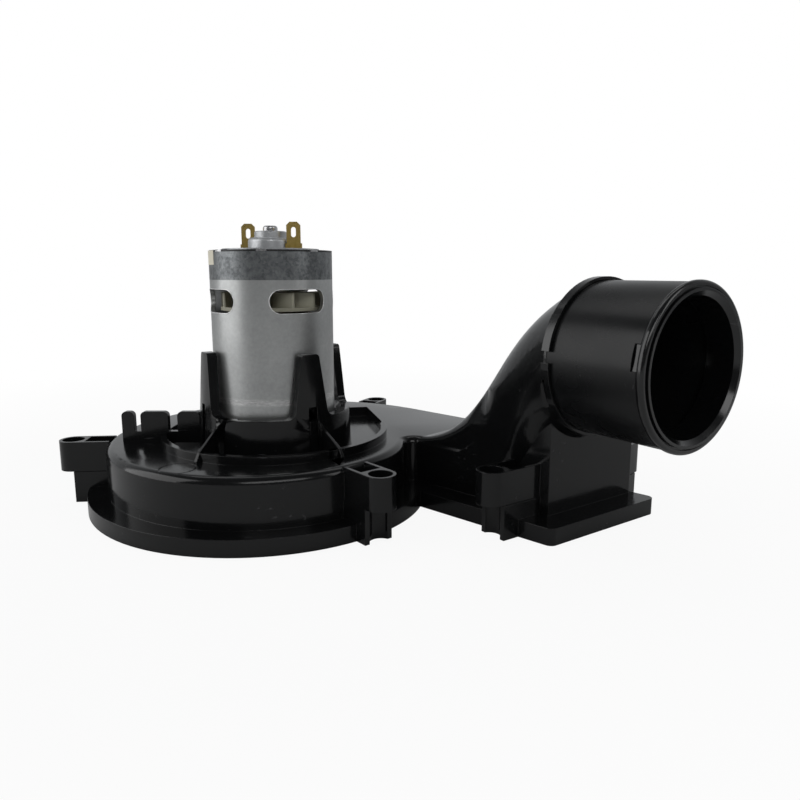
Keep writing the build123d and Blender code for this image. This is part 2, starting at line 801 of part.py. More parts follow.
def build_brush(side):
    low = holder_low + 1
    start = commutator_radius + brush_gap
    body = block(brush_length, brush_width, low + slip / 2, low + brush_height)
    body = Pos(start + brush_length / 2, 0, 0) * body - column(start, 0, motor_top)
    return Rot(0, 0, brush_azimuth + side) * body


def build_magnet(side):
    low = core_low - (magnet_length - core_length) / 2
    body = ring(can_bore - seat, can_bore - magnet_thickness, low, low + magnet_length)
    far = 3 * motor_radius
    half = magnet_angle / 2
    wedge = make_face(Polyline((0, 0), polar(far, -half), (far, 0), polar(far, half), close=True))
    return Rot(0, 0, side) * (body & prism(wedge, low - 1, low + magnet_length + 1))


def build_core():
    """Slotted lamination stack."""
    core = ring(core_radius, shaft_radius + seat, core_low, core_low + core_length)
    mouth = Pos(core_radius, 0, 0) * Rectangle(3 * slot_tooth_tip, slot_mouth)
    return core - slots(slot_pocket() + mouth, core_low - 1, core_low + core_length + 1)


def slot_pocket():
    """Plan of the broad pocket behind one slot's mouth."""
    rim = core_radius - slot_tooth_tip
    corners = [
        polar(slot_floor_radius, -slot_floor_angle),
        polar(rim, -slot_rim_angle),
        polar(rim, slot_rim_angle),
        polar(slot_floor_radius, slot_floor_angle),
    ]
    return make_face(Polyline(*corners, close=True))


def slots(shape, low, high):
    body = Part()
    for k in range(core_slots):
        body += Rot(0, 0, 360 / core_slots * k) * prism(shape, low, high)
    return body


def build_winding():
    """Copper turns: what fills the slots, and a rounded head at each end."""
    body = slots(offset(slot_pocket(), -2 * slip), core_low - 1, core_low + core_length + 1)
    for low in (core_low - coil_end_length - seat, core_low + core_length + seat):
        head = ring(core_radius - coil_inset, coil_end_bore, low, low + coil_end_length)
        body += fillet(head.edges(), coil_end_round)
    return body


def build_commutator():
    low = holder_top - commutator_length
    body = ring(commutator_radius, shaft_radius + seat, low, holder_top)
    slot = block(2 * commutator_slot_depth, commutator_slot_width, low + 1, motor_top)
    for k in range(core_slots):
        body -= Rot(0, 0, 360 / core_slots * k) * Pos(commutator_radius, 0, 0) * slot
    return body


def swept_blade(inner, outer, sweep, thickness, low, high):
    """Curved blade whose tip trails by the sweep angle."""
    middle = (inner + outer) / 2
    line = ThreePointArc(polar(inner, 0), polar(middle, sweep * 0.4), polar(outer, sweep))
    return prism(trace(line, thickness), low, high)


def blade_ring(count, blade):
    body = Part()
    for k in range(count):
        body += Rot(0, 0, 360 / count * k) * blade
    return body


def build_motor_fan():
    """Cream fan inside the can, seen through its windows."""
    low, top = fan_low, fan_low + motor_fan_height
    fan = ring(motor_fan_radius, shaft_radius + seat, low, low + motor_fan_plate)
    fan += ring(motor_fan_hub_radius, shaft_radius + seat, low, top)
    inner = motor_fan_hub_radius - 0.5
    blade = swept_blade(inner, motor_fan_radius, motor_fan_sweep, motor_fan_blade_thickness, low, top)
    return fan + (blade_ring(motor_fan_blades, blade) & ring(motor_fan_radius, inner - 0.5, low, top))


def build_impeller():
    """Closed impeller: top plate, backward-swept blades and a shroud round the eye."""
    low, top = impeller_bottom, impeller_top
    half_plate = impeller_plate / 2
    wheel = ring(impeller_radius, shaft_radius + seat, top - impeller_plate, top)
    wheel += ring(impeller_radius, intake_radius + 1, low, low + impeller_plate)
    wheel += ring(impeller_hub_radius, shaft_radius + seat, low + impeller_hub_lift, top)
    low, top = low + half_plate, top - half_plate
    blade = swept_blade(intake_radius, impeller_radius, impeller_sweep, impeller_blade_thickness, low, top)
    return wheel + (blade_ring(impeller_blades, blade) & ring(impeller_radius, intake_radius, low, top))


def build_shaft():
    top = motor_top + shaft_tip_rise
    shaft = column(shaft_radius, shaft_bottom, top)
    return fillet(shaft.edges().sort_by(Axis.Z).last, shaft_tip_round)


def build_motor_screw(side):
    """Pan-head screw that holds the can to the housing from below."""
    top = recess_ceiling + motor_screw_recess
    low = top - motor_screw_head_height
    screw = column(motor_screw_head_radius, low, top)
    screw = fillet(screw.edges().sort_by(Axis.Z).first, motor_screw_head_round)
    screw += column(motor_screw_radius, low, motor_seat + can_floor)
    screw -= block(motor_screw_slot, 1.4 * motor_screw_head_radius, low - 1, low + motor_screw_slot)
    return Pos(side * screw_circle_radius, 0, 0) * screw


def build_clip():
    """Ring that keeps the impeller on the shaft."""
    low = impeller_bottom + clip_lift
    return ring(clip_radius, shaft_radius + seat, low, low + clip_thickness)


def build_cover_screw(place):
    screw = column(cover_screw_head_radius, slip, cover_screw_head_height)
    screw += column(cover_screw_radius, slip, cover_screw_length)
    screw -= block(cover_screw_slot, 1.4 * cover_screw_head_radius, -1, slip + cover_screw_slot)
    return Pos(place.X, place.Y, 0) * screw


def build_all():
    parts = {
        "upper_housing": build_upper_housing(),
        "lower_cover": build_lower_cover(),
        "outlet_tube": build_outlet_tube(),
        "outlet_end_ring": build_end_ring(),
        "motor_can": build_motor_can(),
        "motor_end_plate": build_end_plate(),
        "brush_holder": build_brush_holder(),
        "front_bearing": bearing(front_bearing_low),
        "rear_bearing": bearing(rear_bearing_low),
        "motor_shaft": build_shaft(),
        "rotor_core": build_core(),
        "rotor_winding": build_winding(),
        "commutator": build_commutator(),
        "motor_fan": build_motor_fan(),
        "impeller": build_impeller(),
        "impeller_clip": build_clip(),
    }
    for number, side in enumerate((0, 180), 1):
        parts[f"magnet_{number}"] = build_magnet(side)
        parts[f"brush_{number}"] = build_brush(side)
        parts[f"motor_screw_{number}"] = build_motor_screw(1 if side == 0 else -1)
    for number, place in enumerate(terminal_places(), 1):
        parts[f"terminal_{number}"] = build_terminal(place)
    for number, place in enumerate(cover_screw_places(), 1):
        parts[f"cover_screw_{number}"] = build_cover_screw(place)
    return parts


os.makedirs("parts", exist_ok=True)
for name, shape in build_all().items():
    export_step(shape, f"parts/{name}.step")
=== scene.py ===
import math

import bmesh
import bpy
from mathutils import Matrix, Vector
from mathutils.bvhtree import BVHTree


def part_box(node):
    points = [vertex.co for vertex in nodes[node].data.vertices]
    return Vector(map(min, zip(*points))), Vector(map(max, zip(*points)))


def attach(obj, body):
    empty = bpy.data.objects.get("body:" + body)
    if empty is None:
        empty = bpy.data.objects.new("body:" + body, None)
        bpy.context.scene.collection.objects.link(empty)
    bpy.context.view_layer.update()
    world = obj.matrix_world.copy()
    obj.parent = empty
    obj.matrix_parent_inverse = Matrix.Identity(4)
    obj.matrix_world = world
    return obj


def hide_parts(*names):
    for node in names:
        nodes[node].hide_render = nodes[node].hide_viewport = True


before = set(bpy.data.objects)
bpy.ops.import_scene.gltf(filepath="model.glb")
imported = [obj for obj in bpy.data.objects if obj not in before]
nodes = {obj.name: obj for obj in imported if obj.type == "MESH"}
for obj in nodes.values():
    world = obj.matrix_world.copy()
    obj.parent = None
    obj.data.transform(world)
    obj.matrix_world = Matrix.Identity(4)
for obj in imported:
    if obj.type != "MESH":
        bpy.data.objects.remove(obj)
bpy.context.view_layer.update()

# Blower fan: a brushed motor on a black scroll housing with an S-bend and a round
# outlet. Metres, in the frame of the CAD model: motor axis on Z, base at Z = 0.

millimetre = 0.001
merge_distance, cut_distance = 0.002 * millimetre, 0.001 * millimetre
sharp_angle = math.radians(28)
up = Vector((0, 0, 1))
origin = (0, 0, 0)

# Motor: its top as in the model, and the places where the can's finish changes
motor_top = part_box("motor_can")[1].z
plated_band_height = 0.0097
rim_line_height = 0.0007
pale_ring_height = 0.0380
pale_ring_width = 0.0022

# Crimp tabs, the brush holder's tab and the windows: sections and azimuths in degrees
crimp_inner, crimp_outer = 0.0186, 0.0211
crimp_azimuths, crimp_half_angle = (-133, -88, -38, 40, 130), 4.5
rim_tab_inner, rim_tab_outer = 0.0205, 0.02108
rim_tab_azimuths = (-168, -142)
window_height, window_azimuths = 0.07035, (-54, 36, 126, 216)
window_half_height, window_half_width, window_wire_radius = 0.00395, 0.01045, 0.00016
can_radius, can_skin = 0.021, 0.02096

# Duct and outlet: forward, and across from the near side to the far side
duct_forward, duct_side = Vector((0.731354, -0.681998, 0)), Vector((0.681998, 0.731354, 0))
outlet_forward, outlet_side = Vector((0.573576, -0.819152, 0)), Vector((0.819152, 0.573576, 0))
outlet_axis = outlet_side * 0.0668 + up * 0.0544

# Collar: where it begins along the outlet, and how far under it the flat side reaches
collar_near, collar_lug_start, under_collar = 0.0880, 0.0875, 0.0890
lug_inner, lug_outer, lug_length = 0.02335, 0.02445, 0.0028
lug_azimuths = (146, 172)

# Flat near side of the bend. It leans out between a foot and a widest level, and both
# levels rise along the duct, from the first to the second of the places named rise.
side_start, side_end = 0.061, 0.100
rise_start, rise_end = 0.070, 0.095
foot_height, foot_rise = 0.030, 0.011
widest_height, widest_rise = 0.042, 0.012
side_first, side_last = 60, 100
side_millimetres = range(side_first, side_last + 1)
side_columns, side_rows, side_cell = 54, 46, 0.00075
side_middle_along, side_middle_height = 0.0800, 0.0415
side_lift, side_overlap = 0.00003, 4

# Part of the housing that is cut up finely before its bulging side is taken away
cut_along, cut_heights, cut_across = (0.055, 0.102), (0.021, 0.062), 0.042
cut_step, first_level, level_count, first_place, place_count = 0.0015, 0.024, 23, 0.061, 26
opened_across, opened_margin = 0.040, 0.00002

# Thin ribs of the recess: azimuth in the model, then turn at the cup and at the bead
thin_ribs = ((-112.5, -15.4, -4.3), (-60.5, 15.5, 10.5))
rib_half_width, rib_reach, rib_foot = 0.00083, (0.0258, 0.0425), 0.0172
rib_turn_radii, rib_thinning = (0.027, 0.0395), 0.35

# Camera, as fitted to the photograph
image_size = 800
camera_place = Vector((0.044724, -0.24047, 0.080517))
camera_pitch = 10.05
focal_pixels = 679.92
horizon_centre = 390.445
sensor_width = 36.0


# Shader helpers

def new_material(name):
    material = bpy.data.materials.new(name)
    material.use_nodes = True
    tree = material.node_tree
    tree.nodes.clear()
    output = tree.nodes.new("ShaderNodeOutputMaterial")
    shader = tree.nodes.new("ShaderNodeBsdfPrincipled")
    tree.links.new(shader.outputs["BSDF"], output.inputs["Surface"])
    return material, tree, shader


def object_coordinates(tree):
    return tree.nodes.new("ShaderNodeTexCoord").outputs["Object"]


def use_group(tree, group, looks):
    node = tree.nodes.new("ShaderNodeGroup")
    node.node_tree = group
    for name, value in looks.items():
        node.inputs[name].default_value = value
    tree.links.new(object_coordinates(tree), node.inputs["Coordinates"])
    return node.outputs


def surface_group(name, own_input):
    """Empty group for a surface; returns it with its input sockets and its output node."""
    group = bpy.data.node_groups.new(name, "ShaderNodeTree")
    inputs = (("Coordinates", "Vector"), ("Dark", "Color"), ("Light", "Color"),
              ("Smooth", "Float"), ("Rough", "Float"), (own_input, "Float"))
    outputs = (("Color", "Color"), ("Roughness", "Float"), ("Height", "Float"))
    for way, sockets in (("INPUT", inputs), ("OUTPUT", outputs)):
        for label, kind in sockets:
            group.interface.new_socket(name=label, in_out=way, socket_type="NodeSocket" + kind)
    return group, group.nodes.new("NodeGroupInput").outputs, group.nodes.new("NodeGroupOutput")


def end_group(group, end, colour, rough, height):
    group.links.new(colour, end.inputs["Color"])
    group.links.new(rough, end.inputs["Roughness"])
    group.links.new(height, end.inputs["Height"])
    return group


def math_node(tree, operation, first, second=None):
    node = tree.nodes.new("ShaderNodeMath")
    node.operation = operation
    for socket, value in zip(node.inputs, (first, second)):
        if value is None:
            continue
        if isinstance(value, (int, float)):
            socket.default_value = value
        else:
            tree.links.new(value, socket)
    return node.outputs[0]


def noise(tree, coordinates, scale, detail=3.0, roughness=0.55):
    node = tree.nodes.new("ShaderNodeTexNoise")
    tree.links.new(coordinates, node.inputs["Vector"])
    if isinstance(scale, (int, float)):
        node.inputs["Scale"].default_value = scale
    else:
        tree.links.new(scale, node.inputs["Scale"])
    node.inputs["Detail"].default_value = detail
    node.inputs["Roughness"].default_value = roughness
    return node.outputs["Fac"]


def map_range(tree, value, low, high, to_low, to_high):
    node = tree.nodes.new("ShaderNodeMapRange")
    names = ("Value", "From Min", "From Max", "To Min", "To Max")
    for name, item in zip(names, (value, low, high, to_low, to_high)):
        if isinstance(item, (int, float)):
            node.inputs[name].default_value = item
        else:
            tree.links.new(item, node.inputs[name])
    return node.outputs["Result"]


def mix_colour(tree, factor, first, second):
    node = tree.nodes.new("ShaderNodeMix")
    node.data_type = "RGBA"
    for name, item in (("Factor", factor), ("A", first), ("B", second)):
        socket = [s for s in node.inputs if s.name == name and s.enabled][0]
        if isinstance(item, (int, float, tuple)):
            socket.default_value = item
        else:
            tree.links.new(item, socket)
    return [s for s in node.outputs if s.enabled][0]


def separate(tree, kind, value):
    """The parts of a vector (XYZ) or of a colour (Color)."""
    node = tree.nodes.new("ShaderNodeSeparate" + kind)
    tree.links.new(value, node.inputs[0])
    return node.outputs


def stretched(tree, place, scale, rotation=(0, 0, 0)):
    """Coordinates stretched for marks that run one way."""
    node = tree.nodes.new("ShaderNodeMapping")
    node.inputs["Rotation"].default_value = rotation
    node.inputs["Scale"].default_value = scale
    tree.links.new(place, node.inputs["Vector"])
    return node.outputs["Vector"]


def bump(tree, height, distance, edge_round=0.0):
    """Relief from a height; edge_round softens the sharp edges under it."""
    node = tree.nodes.new("ShaderNodeBump")
    node.inputs["Distance"].default_value = distance
    node.inputs["Strength"].default_value = 1.0
    tree.links.new(height, node.inputs["Height"])
    if edge_round:
        edge = tree.nodes.new("ShaderNodeBevel")
        edge.samples = 4
        edge.inputs["Radius"].default_value = edge_round
        tree.links.new(edge.outputs["Normal"], node.inputs["Normal"])
    return node.outputs["Normal"]


def show_camera(tree, amount, hidden, shown, output):
    """Sends two shaders to the output, the second to camera rays only, by an amount."""
    ray = tree.nodes.new("ShaderNodeLightPath").outputs["Is Camera Ray"]
    mix = tree.nodes.new("ShaderNodeMixShader")
    tree.links.new(math_node(tree, "MULTIPLY", ray, amount), mix.inputs[0])
    tree.links.new(hidden, mix.inputs[1])
    tree.links.new(shown, mix.inputs[2])
    tree.links.new(mix.outputs[0], output.inputs["Surface"])


# Shared effects

def moulded_surface():
    """Slow flow marks, fine grain and sparse light scuffs of a moulded surface."""
    group, start, end = surface_group("moulded surface", "Scuffs")
    place = start["Coordinates"]
    flow = noise(group, place, 45.0, 2.0)
    grain = noise(group, place, 2600.0, 2.0)
    scratch_place = stretched(group, place, (160.0, 1400.0, 700.0), (0.3, 0.2, 0.7))
    scratch = map_range(group, noise(group, scratch_place, 1.0, 2.0), 0.66, 0.74, 0.0, 1.0)
    patch = map_range(group, noise(group, place, 70.0, 2.0), 0.5, 0.62, 0.0, 1.0)
    scuff = math_node(group, "MULTIPLY", scratch, patch)
    scuff = math_node(group, "MULTIPLY", scuff, start["Scuffs"])
    colour = mix_colour(group, flow, start["Dark"], start["Light"])
    paler = math_node(group, "MULTIPLY", scuff, 0.25)
    colour = mix_colour(group, paler, colour, (0.25, 0.25, 0.26, 1))
    rough = map_range(group, flow, 0.35, 0.65, start["Smooth"], start["Rough"])
    rough = math_node(group, "ADD", rough, math_node(group, "MULTIPLY", scuff, 0.2))
    height = math_node(group, "ADD", grain, math_node(group, "MULTIPLY", flow, 2.0))
    return end_group(group, end, colour, rough, height)


def worked_metal():
    """Stains and a fine grain, for plated and cut metal."""
    group, start, end = surface_group("worked metal", "Grain")
    place = start["Coordinates"]
    stain = noise(group, place, 120.0, 4.0)
    fine = noise(group, place, start["Grain"], 3.0)
    blend = map_range(group, math_node(group, "ADD", stain, fine), 0.7, 1.3, 0.0, 1.0)
    colour = mix_colour(group, blend, start["Dark"], start["Light"])
    rough = map_range(group, blend, 0.0, 1.0, start["Rough"], start["Smooth"])
    return end_group(group, end, colour, rough, fine)


moulded = moulded_surface()
worked = worked_metal()


# Finishes

def surface_material(name, group, looks, depth, edge_round=0.0):
    """Material whose colour, roughness and relief come from a surface group."""
    material, tree, shader = new_material(name)
    effect = use_group(tree, group, looks)
    tree.links.new(effect["Color"], shader.inputs["Base Color"])
    tree.links.new(effect["Roughness"], shader.inputs["Roughness"])
    tree.links.new(bump(tree, effect["Height"], depth, edge_round), shader.inputs["Normal"])
    return material, tree, shader, effect


def plastic(name, dark, light, smooth, rough, pale_marks, depth, specular, edge_round=0.0):
    looks = {"Dark": dark, "Light": light, "Smooth": smooth, "Rough": rough, "Scuffs": pale_marks}
    material, _, shader, _ = surface_material(name, moulded, looks, depth, edge_round)
    shader.inputs["Specular IOR Level"].default_value = specular
    return material


def metal(name, dark, light, smooth, rough, grain, depth=0.00001, metallic=1.0):
    looks = {"Dark": dark, "Light": light, "Smooth": smooth, "Rough": rough, "Grain": grain}
    material, _, shader, _ = surface_material(name, worked, looks, depth)
    shader.inputs["Metallic"].default_value = metallic
    return material


def striped(name, dark, light, smooth, rough, pitch, depth):
    """Even lines along Z, for stacked laminations and wound wire."""
    looks = {"Dark": dark, "Light": light, "Smooth": smooth, "Rough": rough, "Grain": 800.0}
    material, tree, shader, effect = surface_material(name, worked, looks, depth)
    wave = tree.nodes.new("ShaderNodeTexWave")
    wave.bands_direction = "Z"
    wave.inputs["Scale"].default_value = 0.314 / pitch
    wave.inputs["Distortion"].default_value = 0.4
    tree.links.new(object_coordinates(tree), wave.inputs["Vector"])
    line = wave.outputs["Fac"]
    groove = tuple(c * 0.4 for c in dark[:3]) + (1,)
    shade = mix_colour(tree, map_range(tree, line, 0.0, 0.6, 0.0, 1.0), groove, effect["Color"])
    tree.links.new(shade, shader.inputs["Base Color"])
    tree.links.new(bump(tree, line, depth), shader.inputs["Normal"])
    shader.inputs["Metallic"].default_value = 0.9
    return material


def band_mottle(tree, place):
    """Flakes and their shades in the dull band of the can."""
    spangle = tree.nodes.new("ShaderNodeTexVoronoi")
    spangle.inputs["Scale"].default_value = 1100.0
    tree.links.new(place, spangle.inputs["Vector"])
    cell = separate(tree, "Color", spangle.outputs["Color"])[0]
    flake = noise(tree, place, 330.0, 6.0, 0.8)
    mottle = math_node(tree, "ADD", math_node(tree, "MULTIPLY", cell, 0.2), flake)
    return flake, map_range(tree, mottle, 0.42, 0.78, 0.0, 1.0)


def pale_ring(tree, place, height):
    """Ring of pale streaky flecks low on the can."""
    bottom = pale_ring_height - pale_ring_width
    bottom_full = pale_ring_height - pale_ring_width * 0.7
    top_end = pale_ring_height + pale_ring_width * 0.3
    above = map_range(tree, height, bottom, bottom_full, 0.0, 1.0)
    below = map_range(tree, height, pale_ring_height, top_end, 1.0, 0.0)
    fleck_place = stretched(tree, place, (600.0, 600.0, 4500.0))
    flecks = map_range(tree, noise(tree, fleck_place, 1.0, 4.0, 0.7), 0.4, 0.65, 0.0, 1.0)
    ring = math_node(tree, "MULTIPLY", math_node(tree, "MULTIPLY", above, below), flecks)
    return math_node(tree, "MULTIPLY", ring, 0.6)


def can_finish():
    """Satin zinc below, mottled zinc in a band at the top, a ring of pale flecks low down."""
    material, tree, shader = new_material("zinc_can")
    place = object_coordinates(tree)
    height = separate(tree, "XYZ", place)["Z"]
    band_edge, blur = motor_top - plated_band_height, 0.00008
    band = map_range(tree, height, band_edge - blur, band_edge + blur, 0.0, 1.0)
    rim_start, rim_full = motor_top - rim_line_height, motor_top - rim_line_height * 0.8
    rim = map_range(tree, height, rim_start, rim_full, 0.0, 1.0)
    flake, mottle = band_mottle(tree, place)
    satin = use_group(tree, worked, {
        "Dark": (0.34, 0.347, 0.345, 1), "Light": (0.41, 0.417, 0.415, 1),
        "Smooth": 0.30, "Rough": 0.38, "Grain": 900.0,
    })
    mottled = mix_colour(tree, mottle, (0.085, 0.09, 0.094, 1), (0.19, 0.2, 0.205, 1))
    # Narrow ring of pale streaky flecks low on the can
    pale_marks = pale_ring(tree, place, height)
    body = mix_colour(tree, pale_marks, satin["Color"], (0.75, 0.75, 0.74, 1))
    colour = mix_colour(tree, band, body, mottled)
    colour = mix_colour(tree, rim, colour, (0.035, 0.035, 0.036, 1))
    tree.links.new(colour, shader.inputs["Base Color"])
    band_rough = map_range(tree, mottle, 0.0, 1.0, 0.42, 0.36)
    difference = math_node(tree, "SUBTRACT", band_rough, satin["Roughness"])
    difference = math_node(tree, "MULTIPLY", difference, band)
    rough = math_node(tree, "ADD", satin["Roughness"], difference)
    tree.links.new(rough, shader.inputs["Roughness"])
    relief = math_node(tree, "ADD", satin["Height"], math_node(tree, "MULTIPLY", band, flake))
    tree.links.new(bump(tree, relief, 0.000008, 0.00025), shader.inputs["Normal"])
    shader.inputs["Metallic"].default_value = 0.85
    return material


# Name: dark and light colour, least and most roughness, scuffs, depth of the grain,
# specular level, rounding of sharp edges
plastics = {
    "housing_black": ((0.0034, 0.0036, 0.0038, 1), (0.0055, 0.0058, 0.0061, 1),
                      0.11, 0.18, 0.5, 0.000007, 0.32, 0.0003),
    "tube_black": ((0.0042, 0.0044, 0.0047, 1), (0.0064, 0.0067, 0.0071, 1),
                   0.24, 0.33, 0.4, 0.000009, 0.22, 0.0002),
    "gloss_black": ((0.004, 0.0042, 0.0045, 1), (0.0055, 0.0058, 0.0062, 1),
                    0.10, 0.17, 0.3, 0.000005, 0.45, 0.0002),
    "cream_nylon": ((0.60, 0.56, 0.44, 1), (0.72, 0.68, 0.56, 1), 0.4, 0.5, 0.2, 0.00001, 0.5),
    "cream_fan": ((0.26, 0.25, 0.19, 1), (0.33, 0.32, 0.25, 1), 0.4, 0.5, 0.2, 0.00001, 0.4),
    "ferrite": ((0.03, 0.03, 0.031, 1), (0.05, 0.05, 0.052, 1), 0.6, 0.75, 0.8, 0.00002, 0.4),
    "carbon": ((0.02, 0.02, 0.02, 1), (0.04, 0.04, 0.04, 1), 0.5, 0.6, 0.8, 0.00002, 0.4),
}

# Name: dark and light colour, least and most roughness, scale of the grain, and where
# they aren't the usual ones, its depth and the metallic share
metals = {
    # Window edges: the light colour is a painted highlight on their chamfer
    "burnished_edge": ((0.62, 0.63, 0.63, 1), (0.8, 0.8, 0.79, 1), 0.3, 0.42, 900.0),
    "zinc_plate": ((0.34, 0.35, 0.36, 1), (0.46, 0.47, 0.48, 1), 0.36, 0.5, 800.0, 0.00001, 0.8),
    "bright_steel": ((0.36, 0.36, 0.37, 1), (0.5, 0.5, 0.5, 1), 0.2, 0.32, 900.0),
    "screw_steel": ((0.40, 0.40, 0.42, 1), (0.58, 0.58, 0.6, 1), 0.24, 0.38, 900.0),
    "sintered_bronze": ((0.30, 0.20, 0.10, 1), (0.45, 0.31, 0.17, 1), 0.4, 0.55, 1500.0, 0.00003),
    "brass_tab": ((0.42, 0.30, 0.085, 1), (0.60, 0.44, 0.15, 1), 0.26, 0.4, 700.0),
    "copper_bars": ((0.55, 0.25, 0.13, 1), (0.72, 0.37, 0.2, 1), 0.25, 0.4, 900.0),
}

# Name: dark and light colour, least and most roughness, pitch and depth of the lines
striped_metals = {
    "lamination_steel": ((0.2, 0.2, 0.21, 1), (0.34, 0.34, 0.35, 1), 0.3, 0.45, 0.0005, 0.00006),
    "copper_wire": ((0.35, 0.12, 0.04, 1), (0.55, 0.22, 0.08, 1), 0.2, 0.32, 0.0006, 0.0002),
}

finishes = {"zinc_can": can_finish()}
for make, table in ((plastic, plastics), (metal, metals), (striped, striped_metals)):
    for name, values in table.items():
        finishes[name] = make(name, *values)

# Numbered nodes are listed once, without their number
finish_of_node = {
    "upper_housing": "housing_black", "lower_cover": "housing_black",
    "impeller": "housing_black", "outlet_tube": "tube_black", "outlet_end_ring": "gloss_black",
    "motor_can": "zinc_can", "motor_end_plate": "zinc_plate",
    "brush_holder": "cream_nylon", "motor_fan": "cream_fan",
    "front_bearing": "sintered_bronze", "rear_bearing": "sintered_bronze",
    "motor_shaft": "bright_steel", "impeller_clip": "bright_steel",
    "rotor_core": "lamination_steel", "rotor_winding": "copper_wire",
    "commutator": "copper_bars", "magnet": "ferrite", "brush": "carbon",
    "terminal": "brass_tab", "motor_screw": "screw_steel", "cover_screw": "screw_steel",
}

for name, node in nodes.items():
    key = name if name in finish_of_node else name.rsplit("_", 1)[0]
    node.data.materials.clear()
    node.data.materials.append(finishes[finish_of_node[key]])


# Pieces made here

def finish_piece(shape, name, finish, stands_for=None):
    """Turns a bmesh into a named piece of the housing body."""
    mesh = bpy.data.meshes.new(name)
    shape.to_mesh(mesh)
    shape.free()
    piece = bpy.data.objects.new(name, mesh)
    bpy.context.scene.collection.objects.link(piece)
    mesh.materials.append(finishes[finish])
    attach(piece, "housing")
    if stands_for:
        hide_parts(stands_for)


def shade_by_angle(shape, limit):
    for face in shape.faces:
        face.smooth = True
    for edge in shape.edges:
        edge.smooth = len(edge.link_faces) == 2 and edge.calc_face_angle(0.0) < limit


def turn_z(shape, verts, degrees):
    turn = Matrix.Rotation(math.radians(degrees), 3, "Z")
    bmesh.ops.rotate(shape, verts=verts, cent=origin, matrix=turn)


def share(value, low, high):
    return min(max((value - low) / (high - low), 0.0), 1.0)


def bend_side_band(along):
    """Heights between which the side of the bend leans out: foot and widest level."""
    part = share(along, rise_start, rise_end)
    return foot_height + foot_rise * part, widest_height + widest_rise * part


def at_millimetre(levels, along):
    """Value between two of the levels kept for each millimetre."""
    whole = min(max(along / millimetre, side_first), side_last - 0.001)
    step = int(whole)
    return levels[step] + (levels[step + 1] - levels[step]) * (whole - step)


def bend_side_across(along, height, levels):
    """How far across the flat side of the bend lies at one place."""
    part = share(height, *bend_side_band(along))
    low, high = at_millimetre(levels[0], along), at_millimetre(levels[1], along)
    return low - (low - high) * (1.15 * part - 0.15 * part ** 6)


def in_bend_side(along, height):
    """True where the flat side takes the bend's place."""
    foot, widest = bend_side_band(along)
    return side_start < along < side_end and foot < height < widest


def along_outlet(place):
    return (place - outlet_axis).dot(outlet_forward)


def side_levels(surface):
    """How far across the bend lies at each millimetre, at its foot and at its widest."""
    both = []
    for end in (0, 1):
        found = {}
        for step in side_millimetres:
            height = bend_side_band(step * millimetre)[end]
            start = duct_forward * step * millimetre + up * height
            hit = surface.ray_cast(start, duct_side)[0]
            if hit and along_outlet(hit) < collar_near:
                found[step] = hit.dot(duct_side)
        levels = {}
        for step in side_millimetres:
            levels[step] = found[min(sorted(found), key=lambda known: abs(known - step))]
        smooth = {}
        for step in side_millimetres:
            around = [levels[k] for k in range(step - 2, step + 3) if k in levels]
            smooth[step] = sum(around) / len(around)
        both.append(smooth)
    return both


def cut_finely(shape):
    """Cuts the housing by even planes round the near side of the bend."""
    cuts = [(up * (first_level + cut_step * k), up) for k in range(level_count)]
    cuts += [(duct_forward * (first_place + cut_step * k), duct_forward)
             for k in range(place_count)]
    for place, direction in cuts:
        near = [v for v in shape.verts if v.co.dot(duct_side) < cut_across
                and cut_along[0] < v.co.dot(duct_forward) < cut_along[1]
                and cut_heights[0] < v.co.z < cut_heights[1]]
        faces = {face for vert in near for face in vert.link_faces}
        edges = {edge for face in faces for edge in face.edges}
        verts = {vert for face in faces for vert in face.verts}
        bmesh.ops.bisect_plane(shape, geom=list(verts) + list(edges) + list(faces),
                               dist=cut_distance, plane_co=place, plane_no=direction)


def open_bend_side(shape, levels):
    """Takes the bulging side of the bend away, outer and inner skin."""
    def bulges(place):
        flat = bend_side_across(place.dot(duct_forward), place.z, levels)
        return place.dot(duct_side) < flat - opened_margin

    cut_finely(shape)
    unwanted = []
    for face in shape.faces:
        middle = face.calc_center_median()
        if (0.0 < middle.dot(duct_side) < opened_across
                and in_bend_side(middle.dot(duct_forward), middle.z)
                and along_outlet(middle) < collar_near
                and any(bulges(vert.co) for vert in face.verts)):
            unwanted.append(face)
    bmesh.ops.delete(shape, geom=unwanted, context="FACES")


def bend_side(surface, levels):
    """Flat side of the bend, leaning out from the duct wall to the collar."""
    shape = bmesh.new()
    bmesh.ops.create_grid(shape, x_segments=side_columns, y_segments=side_rows, size=0.5)
    size = (side_columns * side_cell, side_rows * side_cell, 1)
    bmesh.ops.scale(shape, vec=size, verts=shape.verts)
    kept, missing = set(), set()
    for vert in shape.verts:
        along, height = side_middle_along + vert.co.x, side_middle_height + vert.co.y
        flat = bend_side_across(along, height, levels)
        hit = surface.ray_cast(duct_forward * along + up * height, duct_side)[0]
        if not hit:
            missing.add(vert)
            across = flat
        elif along_outlet(hit) < collar_near:
            across = hit.dot(duct_side)
        else:
            across = flat - millimetre
        if across <= flat and in_bend_side(along, height):
            kept.add(vert)
            across = flat
        vert.co = duct_forward * along + duct_side * (across - side_lift) + up * height
        if along_outlet(vert.co) > under_collar:
            missing.add(vert)
    for _ in range(side_overlap):
        kept |= {edge.other_vert(vert) for vert in kept for edge in vert.link_edges}
    kept -= missing
    unwanted = [face for face in shape.faces if not all(vert in kept for vert in face.verts)]
    bmesh.ops.delete(shape, geom=unwanted, context="FACES")
    loose = [vert for vert in shape.verts if not vert.link_faces]
    bmesh.ops.delete(shape, geom=loose, context="VERTS")
    if sum(face.normal.dot(duct_side) for face in shape.faces) > 0:
        bmesh.ops.reverse_faces(shape, faces=shape.faces)
    shade_by_angle(shape, math.radians(60))
    finish_piece(shape, "bend_side", "housing_black")


